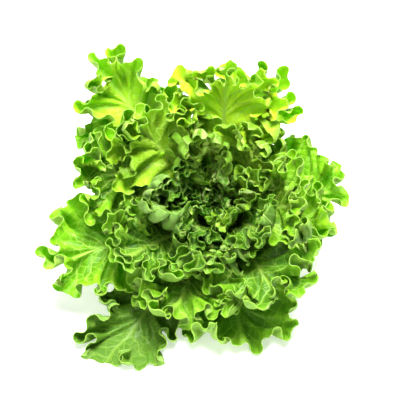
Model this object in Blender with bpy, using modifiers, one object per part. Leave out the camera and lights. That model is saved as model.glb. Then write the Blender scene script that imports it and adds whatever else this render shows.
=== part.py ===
"""A head of green leaf lettuce, resting on its butt and its front leaves, crown towards -Y and up.

A short stem carries a spiral of ruffled leaves, each turned by the golden angle from the last.
Every leaf lies on one layer of a family of nested arcs round the stem. Its folds swing into the
room between its layer and those of the leaves that it overlaps, so that no two leaves meet.
"""

import math

import bpy
import numpy as np

# Everything below is in millimetres and degrees, until the meshes are made in metres.
MM = 0.001

# The head
AXIS_TILT = 48.0          # elevation of the stem's axis above the ground
LEAF_COUNT = 26
GOLDEN_ANGLE = 137.508
FIRST_AZIMUTH = -33.0     # of the outermost leaf, from straight down, towards +X
AZIMUTH_JITTER = 3.0
LAST_LAYER = 0.9          # layer of the innermost leaf

# The stem, and where the leaves leave it
BUTT_RADIUS = 18.0
STEM_RADIUS = 21.0
LOWEST_LEAF = 8.0         # height of the outermost leaf's base above the cut face
STEM_DOME = 30.0          # height of the leafy dome above that
STEM_GAP = 0.4            # between the stem and the leaves

# How the layers open, from the outermost (layer 0) to the axis (layer 1)
OPEN_BACK = 62.0          # angle from the axis of the outermost layer, at the top and back
OPEN_FRONT = 46.0         # and where the ground holds it up
OPEN_HEART = 10.0
RECURVE_OUTER = 20.0      # how far a leaf bends outwards about its mean angle
RECURVE_HEART = 9.0
ARC_REACH = 150.0         # length over which that bend is measured

# The leaves
LENGTH_OUTER = 165.0
LENGTH_HEART = 74.0
LONGER_LEFT = 0.12        # share by which the outermost leaves are longer at the left, shorter at the right
# What sets some leaves apart: degrees of turn, shares of the usual length and spread, and curl of the tip
OWN = {
    0: (8.0, 1.27, 0.52, -3.0),
    1: (0.0, 0.93, 1.0, 2.0),
    2: (2.0, 0.98, 0.95, 3.0),
    3: (0.0, 1.16, 0.86, -22.0),
    4: (8.0, 1.06, 0.75, -1.0),
    5: (5.0, 1.1, 0.66, -4.0),
    6: (0.0, 0.94, 1.0, 3.0),
    7: (16.0, 1.31, 0.53, 4.0),
    8: (6.0, 1.04, 1.0, -3.0),
    9: (-4.0, 0.82, 0.9, 7.0),
    10: (2.0, 0.98, 1.0, -5.0),
    11: (2.0, 1.08, 1.0, -8.0),
    12: (4.0, 1.14, 0.9, -6.0),
    20: (-4.0, 1.1, 1.0, 3.0),
}
SPREAD_OUTER = 40.0       # half of the angle round the axis that a leaf covers
SPREAD_HEART = 50.0
WIDEST_AT = 0.66          # share of the length
BASE_OUTER = 0.45         # width at the base, as a share of the widest
BASE_HEART = 0.62
SPINE_SHARE = 0.74        # how far the midrib runs towards each point of the margin
BLADE = 1.0               # thickness
RIB_OUTER = 3.6           # how far the midrib stands out of the back, at the base
RIB_HEART = 0.5
RIB_WIDTH = 4.5           # half of the midrib's width at the base

# The folds of the margin
WAVE_OUTER = 9.5          # how far the broad waves under the folds swing to each side
WAVE_HEART = 2.5
FOLD_OUTER = 30.0         # length of smooth margin in one fold
FOLD_HEART = 20.0
HEIGHT_OUTER = 14.0       # how far a fold swings to each side
HEIGHT_HEART = 4.2
FREE = 17.0               # farthest that a fold swings where no leaf is in its way
CLEAR = 3.5               # kept between the inner faces of two leaves
COLUMNS_PER_FOLD = 4
NET = ((0.0, 26.0), (None, 26.0), (0.6, 19.0))   # rows inside the folds: ring, and margin for each column
STEEPEST = 0.30           # farthest that a fold swings, as a share of its own length
DRIFT = 1.4               # how slowly the length of the folds changes along the margin
FOLD_RINGS = (0.83, 1.0)

GROUND_STEP = 2.4         # height that a leaf keeps over each leaf pressed flat under it


def smooth(x):
    x = np.clip(x, 0.0, 1.0)
    return x * x * (3.0 - 2.0 * x)


def ripple(x, one, other):
    """A wandering wave between -1 and 1."""
    return 0.6 * np.sin(x + one) + 0.4 * np.sin(1.73 * x + other)


def between(outer, heart, layer):
    return outer + (heart - outer) * layer


def wrapped(angle):
    """An angle in degrees, brought between -180 and 180."""
    return (angle + 180.0) % 360.0 - 180.0


def stem_point(layer):
    """Radius and height at which a layer leaves the stem."""
    turn = np.radians(72.0 * np.clip(layer, 0.0, 1.0))
    below = np.minimum(layer, 0.0) * STEM_DOME
    return STEM_RADIUS * np.cos(turn), LOWEST_LEAF + STEM_DOME * np.sin(turn) + below


def opening(layer, azimuth):
    """Mean angle from the axis of a layer, in degrees."""
    down = 0.5 + 0.5 * np.cos(np.radians(azimuth))
    outer = OPEN_BACK + (OPEN_FRONT - OPEN_BACK) * down**1.3
    return outer + (OPEN_HEART - outer) * (0.75 * layer + 0.25 * layer * np.abs(layer))


def layer_point(layer, reach, azimuth):
    """Radius and height of the point of a layer at this length of arc from the stem."""
    bend = np.radians(between(RECURVE_OUTER, RECURVE_HEART, layer))
    start = np.radians(opening(layer, azimuth)) - bend
    turn = 2.0 * bend / ARC_REACH
    radius, height = stem_point(layer)
    radius = radius + (np.cos(start) - np.cos(start + turn * reach)) / turn
    height = height + (np.sin(start + turn * reach) - np.sin(start)) / turn
    return radius, height


def layer_gap(layer, reach, azimuth):
    """Millimetres per unit of layer, across the layers."""
    step = 0.02
    inner = layer_point(layer + step, reach, azimuth)
    outer = layer_point(layer - step, reach, azimuth)
    return np.hypot(inner[0] - outer[0], inner[1] - outer[1]) / (2.0 * step)


def make_leaf(index, chance):
    """The numbers that set one leaf apart."""
    layer = LAST_LAYER * index / (LEAF_COUNT - 1)
    azimuth = wrapped(FIRST_AZIMUTH + index * GOLDEN_ANGLE + chance.uniform(-1, 1) * AZIMUTH_JITTER)
    length = between(LENGTH_OUTER, LENGTH_HEART, layer**2.6)
    left = -LONGER_LEFT * math.sin(math.radians(azimuth)) * (1.0 - layer)
    turned, longer, wider, curl = OWN.get(index, (0.0, 1.0, 1.0, between(6.0, 2.0, layer) * (-1) ** index))
    return {
        "layer": layer,
        "azimuth": wrapped(azimuth + turned),
        "length": length * (1.0 + left + 0.04 * chance.uniform(-1, 1)) * longer,
        "spread": between(SPREAD_OUTER, SPREAD_HEART, layer**2) * wider,
        "base": between(BASE_OUTER, BASE_HEART, layer),
        "fold": between(FOLD_OUTER, FOLD_HEART, layer**1.4) * (1.0 + 0.12 * chance.uniform(-1, 1)),
        "height": between(HEIGHT_OUTER, HEIGHT_HEART, layer**1.4),
        "wave": between(WAVE_OUTER, WAVE_HEART, layer**1.4) * chance.uniform(0.75, 1.1),
        "curl": curl,
        "rib": between(RIB_OUTER, RIB_HEART, layer),
        "phases": chance.uniform(0.0, 2.0 * math.pi, 8),
    }


def margin_width(leaf, share):
    """Width of the smooth margin at a share of the length, as a share of the widest."""
    body = leaf["base"] + (1.0 - leaf["base"]) * smooth((share - 0.1) / (WIDEST_AT - 0.1))
    cap = np.clip((share - WIDEST_AT) / (1.0 - WIDEST_AT), 0.0, 1.0)
    return body * np.sqrt(1.0 - cap**2)


def outline(leaf):
    """Share of the length, width and length of run along one side of the margin, from base to tip."""
    tip = np.radians(np.linspace(90.0, 0.0, 60))
    cap = WIDEST_AT + (1.0 - WIDEST_AT) * np.cos(tip)
    share = np.concatenate([np.linspace(0.0, WIDEST_AT, 60)[:-1], cap])
    width = margin_width(leaf, share)
    radius, _ = layer_point(leaf["layer"], share * leaf["length"], leaf["azimuth"])
    steps = np.hypot(np.diff(share) * leaf["length"],
                     np.diff(width * math.radians(leaf["spread"])) * radius[1:])
    return share, width, np.concatenate([[0.0], np.cumsum(steps)])


def presence(leaf, azimuth, reach):
    """Of a leaf at a place: how much room its folds need, whether it is there at all, and its rib."""
    share = reach / leaf["length"]
    turned = np.abs(wrapped(azimuth - leaf["azimuth"])) / leaf["spread"]
    side = turned / np.maximum(margin_width(leaf, share), 0.08)
    edge = np.maximum(side, (share - 0.5) / 0.5)
    need = 0.1 + 0.9 * np.clip(edge, 0.0, 1.0) ** 2.5
    there = 1.0 - smooth((np.maximum(side, share) - 1.08) / 0.12)
    rib = leaf["rib"] * (1.0 - smooth(share / 0.75)) * (1.0 - smooth((turned * leaf["spread"] - 5.0) / 9.0))
    return need, there, rib


def rooms(leaf, leaves, azimuth, reach, gap):
    """How far, in layers, a leaf may swing inwards and outwards at a place round the axis."""
    own, _, own_rib = presence(leaf, azimuth, reach)
    inner = np.minimum(FREE / gap, 1.03 - leaf["layer"])
    outer = FREE / gap
    for other in leaves:
        apart = other["layer"] - leaf["layer"]
        if apart == 0.0:
            continue
        need, there, rib = presence(other, azimuth, reach)
        keep = CLEAR + (rib if apart > 0.0 else own_rib)
        limit = np.maximum(abs(apart) - keep / gap, 0.002) * own / (own + there * need)
        limit = limit / np.maximum(there, 0.001)
        if apart > 0.0:
            inner = np.minimum(inner, limit)
        else:
            outer = np.minimum(outer, limit)
    return inner, outer


def leaf_points(leaf, leaves, margin, ring, line):
    """Points of the leaf's inner face round the stem's axis, and the thickness there.

    margin runs from -1 at the base over 0 at the tip to 1 at the base, and ring from 0 at the
    midrib to 1 at the margin.
    """
    share, width, run = line
    whole = run[-1]
    place = margin * whole
    d, e, f, g, h = leaf["phases"][3:]
    phase, own = fold_phase(leaf, place)
    strength = (0.8 + 0.3 * ripple(place / 23.0, d, e)) * np.clip(own / leaf["fold"], 0.55, 1.35)
    fold = np.minimum(leaf["height"] * strength, STEEPEST * own)
    fold = fold * smooth((0.93 - np.abs(margin)) / 0.25) * ring**3

    tip_share = np.interp((1.0 - np.abs(margin)) * whole, run, share)
    tip_width = np.interp((1.0 - np.abs(margin)) * whole, run, width)
    lobe = 1.0 + 0.025 * ring**2 * ripple(place / 14.0, f, g)
    reach_share = tip_share * (SPINE_SHARE + (1.0 - SPINE_SHARE) * ring) * lobe
    turned = np.sign(margin) * ring * tip_width * lobe
    azimuth = leaf["azimuth"] + leaf["spread"] * turned
    reach = leaf["length"] * reach_share

    wave = leaf["wave"] * ring**1.6 * ripple(place / (0.33 * leaf["fold"]), g, h)
    curl = leaf["curl"] * smooth((reach_share - 0.55) / 0.45)
    keel = -1.5 * np.exp(-((turned / 0.2) ** 2)) * smooth(reach_share / 0.3)
    sway = 2.5 * np.sin(2.6 * turned + h) * smooth((reach_share - 0.2) / 0.5)
    swing = fold * np.cos(phase) + wave + curl + keel + sway
    gap = layer_gap(leaf["layer"], reach, azimuth)
    inner, outer = rooms(leaf, leaves, azimuth, reach, gap)
    room = np.where(swing > 0.0, inner, outer)
    shift = room * np.tanh(swing / gap / room)

    radius, height = layer_point(leaf["layer"] + shift, reach, azimuth)
    wide = np.abs(turned) * math.radians(leaf["spread"]) * radius / (RIB_WIDTH * (1.0 - 0.5 * reach_share))
    rib = leaf["rib"] * (1.0 - smooth(reach_share / 0.75)) * np.clip(1.0 - wide, 0.0, 1.0)
    return radius, height, azimuth, BLADE + rib


def to_world(radius, height, azimuth):
    """From round the stem's axis to upright axes, with the ground at the bottom of the butt's rim."""
    tilt = math.radians(AXIS_TILT)
    turn = np.radians(azimuth)
    down = radius * np.cos(turn)
    x = radius * np.sin(turn)
    y = -height * math.cos(tilt) - down * math.sin(tilt)
    z = height * math.sin(tilt) - down * math.cos(tilt) + BUTT_RADIUS * math.cos(tilt)
    return np.stack([x, y, z], axis=-1)


def ground_level(leaf, azimuth, lower):
    """Lowest height for a leaf's back: the ground, and a step for each leaf under it."""
    level = np.zeros_like(azimuth)
    for other in lower:
        off = np.abs(wrapped(azimuth - other["azimuth"]))
        level += 1.0 - smooth((off - other["spread"] - 3.0) / 12.0)
    return GROUND_STEP * level


def fold_phase(leaf, place):
    """Phase of the folds at a length of margin from the tip, and their own length there."""
    a, b, c = leaf["phases"][:3]
    even = 2.0 * math.pi / leaf["fold"]
    drift = DRIFT * leaf["fold"]
    phase = even * place + a + 1.7 * ripple(place / drift, b, c)
    slope = 0.6 * np.cos(place / drift + b) + 0.692 * np.cos(1.73 * place / drift + c)
    return phase, 2.0 * math.pi / (even + 1.7 / drift * slope)


def fold_columns(leaf, whole, side):
    """Margins, from the tip to the base, at which the folds get a vertex: evenly in phase."""
    table = np.linspace(0.0, side * whole, 800)
    phase = np.maximum.accumulate(side * fold_phase(leaf, table)[0])
    step = 2.0 * math.pi / COLUMNS_PER_FOLD
    first = math.ceil((phase[0] + 0.35 * step) / step - 0.5) + 0.5
    stops = np.arange(first * step, phase[-1] - 0.35 * step, step)
    return np.concatenate([[0.0], np.interp(stops, phase, np.abs(table)) / whole, [1.0]])


def zip_rows(one, other, margins):
    """Triangles between two rows of vertices, each taken in the order of its margins."""
    triangles, i, k = [], 0, 0
    while i < len(one) - 1 or k < len(other) - 1:
        along_one = i < len(one) - 1
        if along_one and k < len(other) - 1:
            middle_one = abs(margins[one[i]]) + abs(margins[one[i + 1]])
            along_one = middle_one < abs(margins[other[k]]) + abs(margins[other[k + 1]])
        if along_one:
            triangles.append((one[i], one[i + 1], other[k]))
            i += 1
        else:
            triangles.append((one[i], other[k + 1], other[k]))
            k += 1
    return triangles


def leaf_rows(leaf, line):
    """The net of a leaf: margin and ring of every vertex, and its triangles.

    Rows of vertices follow the margin, with fewer vertices in the rows nearer to the midrib.
    """
    whole = line[2][-1]
    radius, _ = layer_point(leaf["layer"], line[0] * leaf["length"], leaf["azimuth"])
    half = line[1] * math.radians(leaf["spread"]) * radius
    beside = np.clip(RIB_WIDTH / np.maximum(half, 1.0), 0.0, 0.36)

    margins, rings, triangles, rows = [], [], [], {}
    for side in (-1, 1):
        net = [(ring, np.linspace(0.0, 1.0, max(4, round(whole / step)) + 1)) for ring, step in NET]
        net += [(ring, fold_columns(leaf, whole, side)) for ring in FOLD_RINGS]
        for row, (ring, columns) in enumerate(net):
            numbers = []
            for k, margin in enumerate(columns):
                if side > 0 and (row == 0 or k == 0):
                    numbers.append(rows[-1, row][k])
                    continue
                margins.append(side * margin)
                own = float(np.interp((1.0 - margin) * whole, line[2], beside)) if ring is None else ring
                rings.append(own)
                numbers.append(len(margins) - 1)
            rows[side, row] = numbers
        for row in range(len(net) - 1):
            new = zip_rows(rows[side, row], rows[side, row + 1], margins)
            triangles += [t if side < 0 else t[::-1] for t in new]
    return np.array(margins), np.array(rings), np.array(triangles)


def build_leaf(name, leaf, leaves, lower, collection, material):
    """An open net for the leaf's inner face, thickened towards its back."""
    line = outline(leaf)
    margins, rings, triangles = leaf_rows(leaf, line)
    radius, height, azimuth, thick = leaf_points(leaf, leaves, margins, rings, line)
    points = to_world(radius, height, azimuth)
    points[:, 2] = np.maximum(points[:, 2], ground_level(leaf, azimuth, lower) + thick)

    mesh = bpy.data.meshes.new(name)
    mesh.from_pydata((points * MM).tolist(), [], triangles.tolist())
    mesh.materials.append(material)
    obj = bpy.data.objects.new(name, mesh)
    collection.objects.link(obj)

    group = obj.vertex_groups.new(name="thickness")
    for vertex, share in enumerate(thick / thick.max()):
        group.add([vertex], float(share), "REPLACE")
    solid = obj.modifiers.new("thickness", "SOLIDIFY")
    solid.thickness = float(thick.max()) * MM
    solid.vertex_group = "thickness"
    solid.offset = -1.0
    return obj


def build_stem(collection, material):
    """A turned stem: flat cut face, short butt, and the dome that the leaves grow from."""
    radius, height = stem_point(np.linspace(1.0, 0.0, 9))
    profile = [(0.0, height[0] + 1.0)]
    profile += [(r - STEM_GAP, h - STEM_GAP) for r, h in zip(radius, height)]
    profile += [(BUTT_RADIUS, 0.0), (0.0, 0.0)]
    mesh = bpy.data.meshes.new("stem")
    edges = [(k, k + 1) for k in range(len(profile) - 1)]
    mesh.from_pydata([(r * MM, 0.0, h * MM) for r, h in profile], edges, [])
    mesh.materials.append(material)
    obj = bpy.data.objects.new("stem", mesh)
    obj.rotation_euler = (math.radians(90.0 - AXIS_TILT), 0.0, 0.0)
    obj.location = (0.0, 0.0, BUTT_RADIUS * math.cos(math.radians(AXIS_TILT)) * MM)
    collection.objects.link(obj)

    turn = obj.modifiers.new("turn", "SCREW")
    turn.steps = turn.render_steps = 20
    turn.use_merge_vertices = True
    turn.merge_threshold = 0.01 * MM
    return obj


def make_material(name, colour, roughness):
    material = bpy.data.materials.new(name)
    material.use_nodes = True
    shader = material.node_tree.nodes["Principled BSDF"]
    shader.inputs["Base Color"].default_value = (*colour, 1.0)
    shader.inputs["Roughness"].default_value = roughness
    shader.inputs["Metallic"].default_value = 0.0
    return material


def centre_on_ground(objects):
    """Moves the whole head so that the origin is under the middle of its box."""
    bpy.context.view_layer.update()
    graph = bpy.context.evaluated_depsgraph_get()
    corners = []
    for obj in objects:
        made = obj.evaluated_get(graph)
        corners += [made.matrix_world @ v.co for v in made.data.vertices]
    corners = np.array(corners)
    middle = (corners.min(axis=0) + corners.max(axis=0)) / 2.0
    for obj in objects:
        obj.location.x -= float(middle[0])
        obj.location.y -= float(middle[1])


def main():
    for obj in list(bpy.data.objects):
        bpy.data.objects.remove(obj)
    collection = bpy.data.collections.new("lettuce_head")
    bpy.context.scene.collection.children.link(collection)
    chance = np.random.default_rng(7)
    leaf_green = make_material("leaf_green", (0.20, 0.46, 0.03), 0.45)
    heart_green = make_material("heart_green", (0.32, 0.56, 0.06), 0.45)
    stem_white = make_material("stem_white", (0.78, 0.82, 0.58), 0.5)

    leaves = [make_leaf(index, chance) for index in range(LEAF_COUNT)]
    objects = [build_stem(collection, stem_white)]
    for index, leaf in enumerate(leaves):
        material = heart_green if leaf["layer"] > 0.75 else leaf_green
        name = f"leaf_{index + 1:02d}"
        objects.append(build_leaf(name, leaf, leaves, leaves[:index], collection, material))
    centre_on_ground(objects)


main()
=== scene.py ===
import math

import bmesh
import bpy
import numpy as np
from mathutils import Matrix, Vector


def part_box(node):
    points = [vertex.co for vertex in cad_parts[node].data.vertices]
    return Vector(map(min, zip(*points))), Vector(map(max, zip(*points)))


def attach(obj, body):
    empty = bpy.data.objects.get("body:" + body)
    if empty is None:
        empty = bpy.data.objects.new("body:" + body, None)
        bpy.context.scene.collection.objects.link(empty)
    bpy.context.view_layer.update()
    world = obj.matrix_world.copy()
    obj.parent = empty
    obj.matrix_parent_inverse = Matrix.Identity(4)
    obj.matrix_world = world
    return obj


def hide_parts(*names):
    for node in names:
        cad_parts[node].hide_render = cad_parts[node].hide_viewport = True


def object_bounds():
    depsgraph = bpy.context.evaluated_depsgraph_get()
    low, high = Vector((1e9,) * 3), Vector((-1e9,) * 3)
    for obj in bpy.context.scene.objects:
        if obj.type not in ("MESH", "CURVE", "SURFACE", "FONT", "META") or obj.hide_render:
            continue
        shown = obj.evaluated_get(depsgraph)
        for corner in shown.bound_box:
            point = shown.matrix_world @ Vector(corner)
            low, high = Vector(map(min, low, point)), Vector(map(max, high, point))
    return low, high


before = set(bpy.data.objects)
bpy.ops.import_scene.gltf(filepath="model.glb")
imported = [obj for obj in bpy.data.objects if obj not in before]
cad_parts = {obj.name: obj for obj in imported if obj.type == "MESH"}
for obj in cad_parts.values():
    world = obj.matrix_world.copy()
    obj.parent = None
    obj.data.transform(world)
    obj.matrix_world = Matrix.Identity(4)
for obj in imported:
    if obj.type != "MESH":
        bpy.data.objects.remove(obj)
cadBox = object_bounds()
mm = 0.001
print("frame loaded")

# Sizes that the solid model has too, in millimetres and degrees. A layer is 0 on the outermost leaf and 1 on
# the stem's axis, and a pair is the value on either.
stem = {
    "buttRadius": 18.0,
    "radius": 21.0,         # at the lowest leaf
    "lowestLeaf": 8.0,      # above the cut
    "dome": 30.0,           # height of the rounded top over the lowest leaf
    "domeTurn": 72.0,       # of a quarter turn, how much that top makes
    "gap": 0.4,             # kept between the stem and the leaves' feet
}
head = {
    "axisTilt": 48.0,       # the stem's axis over the floor
    "leaves": 26,
    "heartLayer": 0.9,      # layer of the innermost leaf
    "firstAzimuth": -33.0,  # of the outermost leaf round the stem, 0 on the side of the floor
    "spiralAngle": 137.508,
    "azimuthChance": 3.0,
    "openBack": 62.0,       # how far the outermost leaves lean off the axis at the back
    "openFront": 46.0,
    "openHeart": 10.0,
    "recurve": (20.0, 9.0),     # how much less a leaf leans at its foot, and more at its tip
    "arcReach": 150.0,      # length of leaf for that bend
    "length": (165.0, 74.0),
    "longerLeft": 0.12,     # share by which leaves on the left are longer
    "lengthChance": 0.04,
    "spread": (40.0, 50.0),     # half of the angle round the stem that a leaf fills
    "widestAt": 0.66,       # share of a leaf's length
    "base": (0.45, 0.62),   # width at the foot, share of the greatest
    "spineShare": 0.74,     # a leaf's rays leave the midrib at this share of their reach
    "rib": (3.6, 0.5),      # how much thicker the midrib is
    "ribWidth": 4.5,
    "ribEnd": 0.75,         # share of the length where the midrib has run out
    "curl": (6.0, 2.0),     # height of a tip's curl, to and fro in turn
    "keel": 1.5,            # depth of the blade's trough along the midrib
    "sway": 2.5,            # height of the slow swell across the blade
    "wave": (9.5, 2.5),
    "waveChance": (0.75, 1.1),
    "fold": (30.0, 20.0),   # a fold's length along the margin
    "foldHeight": (14.0, 4.2),
    "foldChance": 0.12,
    "foldUneven": 1.7,      # how much the folds' lengths change along a margin
    "foldDrift": 1.4,       # over how many folds they do
    "freeRoom": 17.0,       # how far a leaf swings where it meets no other
    "clearRoom": 3.5,       # kept between two leaves
    "groundStep": 2.4,      # height over the floor for each leaf beneath
}
ownLeaf = {  # by number: turned round the stem by, longer by, wider by, and height of the tip's curl
    0: (8.0, 1.27, 0.52, -3.0),
    1: (0.0, 0.93, 1.0, 2.0),
    2: (2.0, 0.98, 0.95, 3.0),
    3: (0.0, 1.16, 0.86, -22.0),
    4: (8.0, 1.06, 0.75, -1.0),
    5: (5.0, 1.1, 0.66, -4.0),
    6: (0.0, 0.94, 1.0, 3.0),
    7: (16.0, 1.31, 0.53, 4.0),
    8: (6.0, 1.04, 1.0, -3.0),
    9: (-4.0, 0.82, 0.9, 7.0),
    10: (2.0, 0.98, 1.0, -5.0),
    11: (2.0, 1.08, 1.0, -8.0),
    12: (4.0, 1.14, 0.9, -6.0),
    20: (-4.0, 1.1, 1.0, 3.0),
}

# The finer form that only shows here
bud = {  # small leaves deep in the heart; a pair is the first one's value and the step to the next
    "count": 7,
    "layer": (0.93, 0.02),
    "length": (84.0, -5.0),
    "spread": (62.0, 3.0),
    "fold": 15.0,
    "foldHeight": 4.0,
    "wave": 2.0,
    "rib": 0.4,
}
look = {
    "blade": 0.7,           # thickness of the blade
    "overhang": (0.06, 0.36),   # how far folds bulge along the margin, share of their height
    "foldSlope": (0.34, 0.5),   # farthest that a fold swings, share of its own length
    "foldHeight": (1.1, 2.2),   # how much higher than in the solid model the folds may stand
    "foldPower": (1.7, 1.2),    # of the ring, by which folds grow towards the margin
    "foldBend": 4.0,        # how the folds wind and join on their way into the blade
    "moreRoom": (1.7, 2.4),     # how much farther than in the solid model a leaf may swing
    "roll": (5.0, 1.5),     # height of the blade's wide uneven swells
    "bandWidth": (28.0, 16.0),  # margin that turns up
    "bandTurn": (62.0, 60.0),   # how far it turns on the whole
    "bandSwing": (60.0, 40.0),  # how much that changes along the margin
    "bandFold": (0.5, 1.0),     # share of a fold's height that turns with the band
    "frillLength": (26.0, 10.0),    # along the folded margin
    "frillHeight": (6.0, 3.2),
    "frillDepth": (32.0, 18.0),     # how far the frills reach into the blade
    "crimpLength": 10.0,
    "crimpHeight": 0.45,
    "crimpDepth": 6.0,      # how far the crimps reach into the blade
    "toothLength": 6.5,
    "toothHeight": 0.3,
    "toothDepth": 7.0,
    "quilt": 0.8,           # bulge of the blade between its side veins
    "quiltMargin": 12.0,    # the blade lies flatter this near the rim
    "rimThin": 4.0,         # and is thinner this near it
    "veinStep": 13.0,       # from one side vein to the next
    "veinRake": 0.85,       # how much a side vein runs towards the tip on its way out
    "column": 3.2,          # margin for each column of a leaf's net
    "rows": 24,
    "flatScale": 0.01,      # of the flat coordinates that the veins read
}
uneven = {  # length over which each form changes along a leaf
    "foldBend": 17.0,
    "foldHeight": 23.0,
    "lobe": 14.0,
    "roll": 13.0,
    "bandWidth": 19.0,
    "bandTurn": 15.0,
    "frill": 31.0,
    "crimp": 9.0,
    "tooth": 11.0,
    "toothHeight": 26.0,
}
ownBand = {  # width, turn and swing of a leaf's margin band
    0: (38.0, 90.0, 55.0),
    1: (24.0, 40.0, 55.0),
    3: (32.0, 66.0, 60.0),
    4: (38.0, 86.0, 45.0),
    6: (26.0, 40.0, 55.0),
    7: (48.0, 95.0, 60.0),
    8: (30.0, 45.0, 60.0),
    10: (30.0, 75.0, 50.0),
    12: (38.0, 80.0, 45.0),
    17: (45.0, 85.0, 30.0),
    18: (44.0, 125.0, 25.0),
    20: (52.0, 105.0, 20.0),
}
# Length and width of single leaves against the solid model's, to keep the outline once their margins turn up
ownLength = {0: 1.02, 1: 1.05, 4: 0.96, 5: 1.04, 6: 1.04, 7: 0.95, 11: 1.06, 12: 0.92}
ownWidth = {0: 0.88, 5: 0.94}
ownFold = {0: 1.6, 2: 1.2, 3: 1.9, 5: 1.8, 7: 0.9, 8: 1.3, 12: 1.3, 14: 0.7}  # against the usual foldSlope
ownFreshAndGlow = {  # above 0 where a leaf's green is yellow, and on leaf 12 also painted light coming through it; below 0 where it is pale and dull, and on leaf 0 also painted shade on the low side of the head
    0: -1.2, 1: -0.1, 2: 0.0, 3: -0.6, 4: 1.0, 5: 0.0, 6: 0.1, 7: 0.65, 8: -0.5, 9: 0.5, 10: 0.0,
    11: -0.4, 12: 1.42, 13: -0.5, 14: 0.1, 15: 0.5, 16: -0.4, 17: 0.5, 18: -1.0, 19: -0.2, 20: 0.4, 21: -0.4,
}


def smooth(x):
    x = np.clip(x, 0.0, 1.0)
    return x * x * (3.0 - 2.0 * x)


def ripple(x, one, other):
    # an uneven wave about 1 high
    return 0.6 * np.sin(x + one) + 0.4 * np.sin(1.73 * x + other)


def rippleSlope(x, one, other):
    # how steeply a ripple rises
    return 0.6 * np.cos(x + one) + 0.692 * np.cos(1.73 * x + other)


def between(outer, heart, layer):
    return outer + (heart - outer) * layer


def soon(layer):
    # a layer that reaches the heart's value on the middle leaves
    return min(2.5 * layer, 1.0)


def offFoot(margin, end, over):
    # 1 along the margin and 0 at the foot
    return smooth((end - np.abs(margin)) / over)


def wrapped(angle):
    return (angle + 180.0) % 360.0 - 180.0


def unit(v):
    return v / np.maximum(np.linalg.norm(v, axis=-1, keepdims=True), 1e-9)


def stemPoint(layer):
    # radius and height on the stem's surface where a layer starts
    turn = np.radians(stem["domeTurn"] * np.clip(layer, 0.0, 1.0))
    below = np.minimum(layer, 0.0) * stem["dome"]
    return stem["radius"] * np.cos(turn), stem["lowestLeaf"] + stem["dome"] * np.sin(turn) + below


def opening(layer, azimuth):
    # how far a layer leans off the axis
    front = 0.5 + 0.5 * np.cos(np.radians(azimuth))
    outer = between(head["openBack"], head["openFront"], front**1.3)
    return between(outer, head["openHeart"], 0.75 * layer + 0.25 * layer * np.abs(layer))


def layerPoint(layer, reach, azimuth):
    # radius and height round the stem's axis on the smooth sheet of a layer
    bend = np.radians(between(*head["recurve"], layer))
    start = np.radians(opening(layer, azimuth)) - bend
    turn = 2.0 * bend / head["arcReach"]
    radius, height = stemPoint(layer)
    radius = radius + (np.cos(start) - np.cos(start + turn * reach)) / turn
    height = height + (np.sin(start + turn * reach) - np.sin(start)) / turn
    return radius, height


def layerGap(layer, reach, azimuth):
    # millimetres to a whole layer, measured close by and never 0
    near, least = 0.02, 0.05
    inner = layerPoint(layer + near, reach, azimuth)
    outer = layerPoint(layer - near, reach, azimuth)
    return np.maximum(np.hypot(inner[0] - outer[0], inner[1] - outer[1]) / (2.0 * near), least)


def toWorld(radius, height, azimuth):
    tilt = math.radians(head["axisTilt"])
    turn = np.radians(azimuth)
    down = radius * np.cos(turn)
    x = radius * np.sin(turn)
    y = -height * math.cos(tilt) - down * math.sin(tilt)
    z = height * math.sin(tilt) - down * math.cos(tilt) + stem["buttRadius"] * math.cos(tilt)
    return np.stack([x, y, z], axis=-1)


def stemProfile():
    # from the cut's middle round the rim and up to the top
    radius, height = stemPoint(np.linspace(0.0, 1.0, 9))
    profile = [(0.0, 0.0), (stem["buttRadius"], 0.0)]
    profile += [(r - stem["gap"], h - stem["gap"]) for r, h in zip(radius, height)]
    return profile + [(0.0, height[-1] + 1.0)]


def findShift():
    # where the solid model was centred, read back from its stem
    points = []
    for r, h in stemProfile():
        points += [toWorld(r, h, a) for a in np.arange(0.0, 360.0, 18.0)]
    points = np.array(points) * mm
    low, high = (np.array(c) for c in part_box("stem"))
    made = (points.min(axis=0) + points.max(axis=0)) / 2.0
    return (low + high) / 2.0 - made, points.max(axis=0) - points.min(axis=0) - (high - low)


def marginWidth(leaf, share):
    widest = head["widestAt"]
    body = leaf["base"] + (1.0 - leaf["base"]) * smooth((share - 0.1) / (widest - 0.1))
    cap = np.clip((share - widest) / (1.0 - widest), 0.0, 1.0)
    return body * np.sqrt(1.0 - cap**2)


def outline(leaf):
    # share of the length, half width and run along the margin, from the foot to the tip
    widest, points = head["widestAt"], 60
    cap = widest + (1.0 - widest) * np.cos(np.radians(np.linspace(90.0, 0.0, points)))
    share = np.concatenate([np.linspace(0.0, widest, points)[:-1], cap])
    width = marginWidth(leaf, share)
    radius, _ = layerPoint(leaf["layer"], share * leaf["length"], leaf["azimuth"])
    steps = np.hypot(np.diff(share) * leaf["length"],
                     np.diff(width * math.radians(leaf["spread"])) * radius[1:])
    return share, width, np.concatenate([[0.0], np.cumsum(steps)])


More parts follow.
